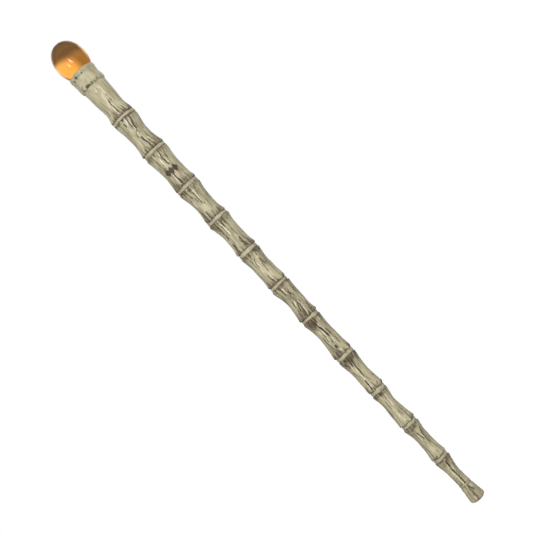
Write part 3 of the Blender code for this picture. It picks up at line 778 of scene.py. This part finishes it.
def add_knob(material):
    """The resin egg and its tenon, with the rubber ring's groove and the insert's pocket."""
    _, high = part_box("knob")
    centre = high.z - KNOB_HALF_LENGTH
    heights, inner, outer = outline("knob")
    tenon = outer[-1]
    angles = np.linspace(0.5 * math.pi - 0.02, -0.5 * math.pi, 150)
    height = centre + KNOB_HALF_LENGTH * np.sin(angles)
    share = np.clip(np.abs(height - centre) / KNOB_HALF_LENGTH, 0, 1)
    radius = high.x * (1 - share**KNOB_POWER) ** (1 / KNOB_POWER)
    keep = (angles > 0) | (radius > tenon + 0.05 * MM)
    egg = list(zip(radius[keep], height[keep]))
    groove_top, groove_bottom, bottom = heights[-3:]
    groove, _, pocket = inner[-3:]
    pocket_top = heights[np.abs(outer - pocket) < 0.1 * MM][0]
    bevel = 0.12 * MM
    neck, lip = egg[-1][1] - 0.15 * MM, tenon - bevel
    profile = egg + [(tenon, neck), (tenon, groove_top + bevel), (lip, groove_top)]
    profile += [(groove, groove_top), (groove, groove_bottom), (lip, groove_bottom)]
    profile += [(tenon, groove_bottom - bevel), (tenon, bottom + bevel), (lip, bottom)]
    profile += [(pocket, bottom), (pocket, pocket_top), (0.5 * pocket, pocket_top)]
    radii, levels = np.array(profile).T
    phi, level = grid(levels, 192)
    rows = place(phi, radii[:, None], level)
    solid("knob", rows, material, body="knob", poles=True, sharp=35)


def add_lathed(name, profile, material, around, shape=None, sharp=40, body="shaft"):
    """A turned piece of hardware. `shape` changes the radii of the points on its outer side,
    which is wherever they are beyond the bore."""
    radii, levels = np.array(profile).T
    phi, level = grid(levels, around)
    radius = np.repeat(radii[:, None], around, axis=1)
    if shape:
        radius = np.where(radius > 1.02 * radii.min(), shape(phi, level, radius), radius)
    solid(name, place(phi, radius, level), material, body=body, sharp=sharp)


def add_washer(material):
    """The flat washer under the nut."""
    top, bottom, bore, radius = extent("top_washer")
    bevel = 0.08 * MM
    profile = [(bore, top), (radius - bevel, top), (radius, top - bevel)]
    profile += [(radius, bottom + bevel), (radius - bevel, bottom), (bore, bottom)]
    add_lathed("top_washer", profile, material, 96)


def add_nut(material):
    """The hex nut, its corners turned off at both ends."""
    top, bottom, _, radius = extent("top_nut")
    flat = radius * math.cos(math.pi / 6)
    profile = [(radius, z) for z in np.linspace(top, bottom, 22)]
    profile += [(ROD_BORE, bottom), (ROD_BORE, top)]

    def hexagon(phi, level, _):
        sector = (phi + math.pi / 6) % (math.pi / 3) - math.pi / 6
        turned_off = flat * 0.97 + 2.2 * np.minimum(top - level, level - bottom)
        return np.minimum(flat / np.cos(sector), turned_off)

    add_lathed("top_nut", profile, material, 144, hexagon, 30)


def add_insert(name, material, body):
    """A brass insert: two knurled bands with a plain neck between them."""
    top, bottom, bore, radius = extent(name)
    profile = [(radius, z) for z in np.linspace(top, bottom, 60)]
    profile += [(bore, bottom), (bore, top)]

    def knurl(phi, level, radius):
        share = (top - level) / (top - bottom)
        band = ramp(0.05, 0.08, share) * ramp(0.42, 0.39, share)
        band += ramp(0.55, 0.58, share) * ramp(0.95, 0.92, share)
        twist = level / (1.2 * MM)
        diamonds = np.abs(np.sin(14 * phi + twist)) * np.abs(np.sin(14 * phi - twist))
        ends = ramp(0.0, 0.04, share) * ramp(1.0, 0.96, share)
        return radius - (0.14 * (1 - band * diamonds) + 0.10 * (1 - ends)) * MM

    add_lathed(name, profile, material, 168, knurl, 50, body)


def add_rod(material):
    """The core rod: plain between, with its M3 thread cut at both ends."""
    top, bottom, _, radius = extent("core_rod")
    cut_top, cut_bottom = top - STUD_THREAD, bottom + FOOT_THREAD
    row = THREAD_PITCH / 8
    stud, foot = np.arange(top, cut_top, -row), np.arange(cut_bottom - row, bottom, -row)
    levels = np.concatenate([stud, np.linspace(cut_top, cut_bottom, 20), foot])
    phi, level = grid(levels, 48)
    turn = (level / THREAD_PITCH + phi / (2 * math.pi)) % 1.0
    depth = THREAD_DEPTH * ramp(0.12, 0.5, np.abs(2 * turn - 1))
    cut = ramp(cut_top - 0.5 * MM, cut_top, level)
    cut += ramp(cut_bottom + 0.5 * MM, cut_bottom, level)
    chamfer = 0.35 * MM * ramp(0.4 * MM, 0.0, np.minimum(top - level, level - bottom))
    rows = place(phi, radius - depth * cut - chamfer, level)
    solid("core_rod", rows, material, poles=True, sharp=50)


def add_rubber_ring(material):
    """The rubber ring round the tenon, with the fine flash line that its mould leaves."""
    low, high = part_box("knob_ring")
    section = 0.5 * (high.z - low.z)
    middle, centre_radius = 0.5 * (high.z + low.z), high.x - section
    phi, around = grid(np.linspace(0, 2 * math.pi, 40, endpoint=False), 160)
    reach = section * (1 + 0.04 * bell(wrapped(around) / 0.07))
    rows = place(phi, centre_radius + reach * np.cos(around), middle - section * np.sin(around))
    solid("knob_ring", rows, material, body="knob_ring")


class Look:
    """A new material, or world, with short ways to add nodes to it."""

    def __init__(self, name, kind="materials", **constants):
        self.owner = getattr(bpy.data, kind).new(name)
        self.owner.use_nodes = True
        self.tree = self.owner.node_tree
        self.shader = self.tree.nodes.get("Principled BSDF")
        self.set(**constants)

    def feed(self, socket, value):
        if isinstance(value, bpy.types.NodeSocket):
            self.tree.links.new(value, socket)
        elif socket.type == "RGBA":
            socket.default_value = (*value, 1.0)
        else:
            socket.default_value = value

    def fill(self, node, inputs):
        for key, value in inputs.items():
            self.feed(node.inputs[key.replace("_", " ")], value)

    def set(self, **inputs):
        self.fill(self.shader, inputs)
        return self.owner

    def add(self, kind, settings=None, **inputs):
        node = self.tree.nodes.new("ShaderNode" + kind)
        for key, value in (settings or {}).items():
            setattr(node, key, value)
        self.fill(node, inputs)
        return node

    def place(self):
        return self.add("TexCoord").outputs["Object"]

    def noise(self, scale, detail=3.0, stretch=1.0):
        """Noise over the piece. A stretch above 1 draws it out along the axis."""
        drawn = self.add("Mapping", Vector=self.place(), Scale=(1.0, 1.0, 1.0 / stretch))
        noise = {"Scale": scale, "Detail": detail, "Roughness": 0.55}
        return self.add("TexNoise", Vector=drawn.outputs[0], **noise).outputs["Fac"]

    def ranged(self, value, low, high, to_low=0.0, to_high=1.0):
        smooth = {"interpolation_type": "SMOOTHSTEP"}
        limits = {"From_Min": low, "From_Max": high, "To_Min": to_low, "To_Max": to_high}
        return self.add("MapRange", smooth, Value=value, **limits).outputs["Result"]

    def math(self, operation, *values):
        node = self.add("Math", {"operation": operation})
        for socket, value in zip(node.inputs, values):
            self.feed(socket, value)
        return node.outputs[0]

    def mix(self, share, first, second):
        node = self.add("Mix", {"data_type": "RGBA"}, Factor=share)
        self.feed(node.inputs[6], first)
        self.feed(node.inputs[7], second)
        return node.outputs[2]

    def mix_number(self, share, first, second):
        return self.add("Mix", Factor=share, A=first, B=second).outputs[0]

    def bump(self, height, distance, strength=1.0, **below):
        below.update(Height=height, Distance=distance, Strength=strength)
        return self.add("Bump", **below).outputs["Normal"]


def cast_bone(name, light, shaded, fibre_amount):
    """Cast resin painted as old bone: cream over olive, with a brown wash rubbed into the
    hollows and near-black in the cracks. The ridges and raised spots are pale, partly polished
    bare and partly painted highlight."""
    look = Look(name, IOR=1.5, Coat_Weight=0.12, Coat_Roughness=0.22)
    wear_and_highlights = look.add("Attribute", {"attribute_name": "wear_and_highlights"}).outputs["Color"]
    wash, ink, pale = look.add("SeparateColor", Color=wear_and_highlights).outputs
    fibre = look.noise(900, 2.5, 8.0)
    mottle = look.noise(220, 2.0, 2.0)
    grain = look.noise(2600, 1.0, 2.0)
    cells = look.add("TexVoronoi", Vector=look.place(), Scale=1100).outputs["Distance"]
    pores = look.ranged(cells, 0.16, 0.05)
    colour = look.mix(look.ranged(mottle, 0.35, 0.68), light, shaded)
    colour = look.mix(look.ranged(fibre, 0.46, 0.70, 0.0, fibre_amount), colour, STREAK)
    # The pale channel: polished bare spots and painted highlights
    colour = look.mix(look.math("MULTIPLY", pale, 0.9), colour, POLISHED_AND_HIGHLIGHT)
    colour = look.mix(look.math("MULTIPLY", pores, 0.10), colour, WASH)
    uneven = look.ranged(fibre, 0.30, 0.70, 0.62, 1.15)
    brown = look.mix(look.ranged(mottle, 0.4, 0.62), WASH, WASH_WARM)
    colour = look.mix(look.math("MULTIPLY", wash, uneven), colour, brown)
    colour = look.mix(look.math("MULTIPLY", ink, 0.92), colour, INK)
    rough = look.ranged(fibre, 0.25, 0.75, 0.36, 0.50)
    rough = look.math("ADD", rough, look.math("MULTIPLY", wash, 0.16))
    rough = look.math("SUBTRACT", rough, look.math("MULTIPLY", pale, 0.08))
    normal = look.bump(grain, 0.02 * MM, 0.2)
    normal = look.bump(fibre, 0.06 * MM, 0.45, Normal=normal)
    return look.set(Base_Color=colour, Roughness=rough, Normal=normal)


def amber_resin():
    """Clear amber-coloured resin: its colour comes from the depth that light crosses."""
    look = Look("amber_resin", IOR=1.52, Transmission_Weight=1.0, Base_Color=AMBER_CLEAR)
    rough = look.ranged(look.noise(500), 0.3, 0.8, 0.03, 0.07)
    normal = look.bump(look.noise(2400, 2.0), 0.004 * MM, 0.3)
    normal = look.bump(look.noise(120, 2.0), 0.03 * MM, 0.1, Normal=normal)
    depth = look.add("VolumeAbsorption", Color=AMBER_DEEP, Density=AMBER_DENSITY)
    look.fill(look.tree.nodes["Material Output"], {"Volume": depth.outputs[0]})
    return look.set(Roughness=rough, Normal=normal)


def metal(name, colour, tarnish, low, high):
    """A machined metal with fine turning marks and uneven tarnish."""
    look = Look(name, Metallic=1.0)
    marks = look.noise(5200, 2.0, 0.12)
    shade = look.mix(look.ranged(look.noise(600, 4.0), 0.45, 0.75, 0.0, 0.7), colour, tarnish)
    rough = look.ranged(look.noise(1500), 0.3, 0.7, low, high)
    return look.set(Base_Color=shade, Roughness=rough, Normal=look.bump(marks, 0.01 * MM, 0.5))


def rubber():
    """Matt black rubber, a little dusty."""
    look = Look("rubber", Specular_IOR_Level=0.4)
    dust = look.ranged(look.noise(1800, 4.0), 0.5, 0.8, 0.0, 0.5)
    rough = look.ranged(look.noise(900), 0.3, 0.7, 0.55, 0.8)
    normal = look.bump(look.noise(6000, 2.0), 0.01 * MM, 0.4)
    shade = look.mix(dust, RUBBER, RUBBER_DUST)
    return look.set(Base_Color=shade, Roughness=rough, Normal=normal)


def add_floor(low):
    """A pale floor just under the tip. Straight on, it shows as the same white as the backdrop."""
    mesh = bpy.data.meshes.new("floor")
    half = 4.0
    corners = [(-half, -half, low), (half, -half, low), (half, half, low), (-half, half, low)]
    mesh.from_pydata(corners, [], [(0, 1, 2, 3)])
    look = Look("floor", Roughness=0.9)
    look.set(Base_Color=look.mix(look.ranged(look.noise(3.0), 0.3, 0.7), *FLOOR_TONES))
    white = look.add("Emission", Strength=1.0)
    shown = look.add("MixShader", Fac=look.add("LightPath").outputs["Is Camera Ray"])
    look.feed(shown.inputs[1], look.shader.outputs[0])
    look.feed(shown.inputs[2], white.outputs[0])
    look.fill(look.tree.nodes["Material Output"], {"Surface": shown.outputs[0]})
    mesh.materials.append(look.owner)
    add_object("floor", mesh)


def add_room():
    """A white backdrop. What lights the wand and shows through the resin is a soft room: pale
    in front, dim behind and below, with a bright wall behind at the upper right. The wand's
    gloss mirrors a plain pale backdrop instead, and its matt back is filled in softly."""
    look = Look("room", "worlds")
    way = look.add("TexCoord").outputs["Generated"]
    across, away, up = look.add("SeparateXYZ", Vector=way).outputs
    rays = look.add("LightPath").outputs
    front = look.ranged(away, 0.25, -0.35, 0.0, ROOM_FRONT - ROOM_DIM)
    slope = look.math("MULTIPLY_ADD", across, WALL_LEAN, up)
    bright = look.math("MULTIPLY", look.ranged(slope, 0.07, 0.40), look.ranged(across, -0.34, 0.16))
    wall = look.mix_number(bright, ROOM_LEFT_WALL, ROOM_WALL)
    high = look.math("MAXIMUM", look.ranged(slope, 0.02, 0.30), look.ranged(up, 0.06, 0.26))
    behind = look.ranged(away, 0.05, 0.30)
    unmirrored = look.math("SUBTRACT", 1.0, rays["Is Glossy Ray"])
    unmirrored = look.math("MAXIMUM", unmirrored, rays["Is Transmission Ray"])
    seen = look.math("MULTIPLY", look.math("MULTIPLY", high, behind), unmirrored)
    sheen = look.ranged(away, 0.25, 0.85, ROOM_DIM, BACKDROP_SHEEN)
    side = look.ranged(across, -0.74, -0.94, 0.0, RIM_GLOW)
    back = look.ranged(away, 0.1, 0.6, 0.0, ROOM_BACK)
    level = look.math("ADD", front, look.math("MULTIPLY", seen, wall))
    level = look.math("ADD", level, look.mix_number(unmirrored, sheen, ROOM_DIM))
    level = look.math("MULTIPLY_ADD", side, rays["Is Transmission Ray"], level)
    level = look.math("MULTIPLY_ADD", back, rays["Is Diffuse Ray"], level)
    strength = look.mix_number(rays["Is Camera Ray"], level, 1.0)
    look.fill(look.tree.nodes["Background"], {"Strength": strength, "Color": (1.0, 1.0, 1.0)})
    bpy.context.scene.world = look.owner


def add_light(name, top, bottom, width, power, glossy=True):
    """A rectangular soft light between its two ends, facing the wand."""
    top, bottom = Vector(top), Vector(bottom)
    data = bpy.data.lights.new(name, "AREA")
    data.shape = "RECTANGLE"
    data.size, data.size_y = width, (top - bottom).length
    data.energy = power
    light = add_object(name, data)
    centre = 0.5 * (top + bottom)
    along = (top - bottom).normalized()
    back = (centre - Vector((0.0, 0.0, LIGHTS_AIM))).normalized()
    back = (back - along * back.dot(along)).normalized()
    turn = Matrix((along.cross(back), along, back)).transposed()
    light.matrix_world = Matrix.Translation(centre) @ turn.to_4x4()
    light.visible_camera = False
    light.visible_glossy = glossy
    light.visible_transmission = False


def add_camera():
    """Square to the wand's middle, with the axis running down to the right."""
    camera = add_object("camera", bpy.data.cameras.new("camera"))
    sine, cosine = math.sin(AXIS_BELOW_HORIZON), math.cos(AXIS_BELOW_HORIZON)
    right, up, back = (sine, 0.0, -cosine), (cosine, 0.0, sine), (0.0, -1.0, 0.0)
    turn = Matrix((right, up, back)).transposed().to_4x4()
    place = Matrix.Translation((CAMERA_SIDE, -CAMERA_DISTANCE, CAMERA_HEIGHT))
    camera.matrix_world = place @ turn
    camera.data.lens = CAMERA_LENS
    camera.data.sensor_width = 36.0
    camera.data.clip_start, camera.data.clip_end = 0.01, 20.0
    bpy.context.scene.camera = camera


def main():
    low, _ = cad_box
    add_camera()
    add_floor(low.z - 0.5 * MM)
    add_room()
    add_light("key", (0.06, -1.0, 0.80), (0.06, -1.0, 0.0), 0.6, KEY_POWER, glossy=False)
    add_light("tube_left", (-0.558, -0.83, 0.457), (-0.432, -0.902, 0.03), 0.06, TUBE_POWER)
    add_light("tube_right", (-0.086, -1.0, 0.62), (0.046, -1.0, 0.17), 0.085, 1.25 * TUBE_POWER)

    bone = cast_bone("cast_bone", CREAM, OLIVE, 0.55)
    smooth_bone = cast_bone("smooth_bone", CREAM, OLIVE, 0.18)
    ring_bone = cast_bone("ring_bone", RING_CREAM, RING_OLIVE, 0.15)
    steel = metal("steel", STEEL, STEEL_TARNISH, 0.22, 0.40)
    brass = metal("brass", BRASS, BRASS_TARNISH, 0.20, 0.38)
    for number in range(1, SEGMENTS + 1):
        add_segment(number, bone)
    for number in range(1, RINGS + 1):
        add_ring(number, ring_bone)
    add_cup(smooth_bone)
    add_bead(smooth_bone)
    add_foot(bone)
    add_knob(amber_resin())
    add_rod(steel)
    add_nut(steel)
    add_washer(steel)
    add_insert("foot_insert", brass, "shaft")
    add_insert("knob_insert", brass, "knob")
    add_rubber_ring(rubber())


main()
bpy.context.scene.view_settings.view_transform = "Standard"
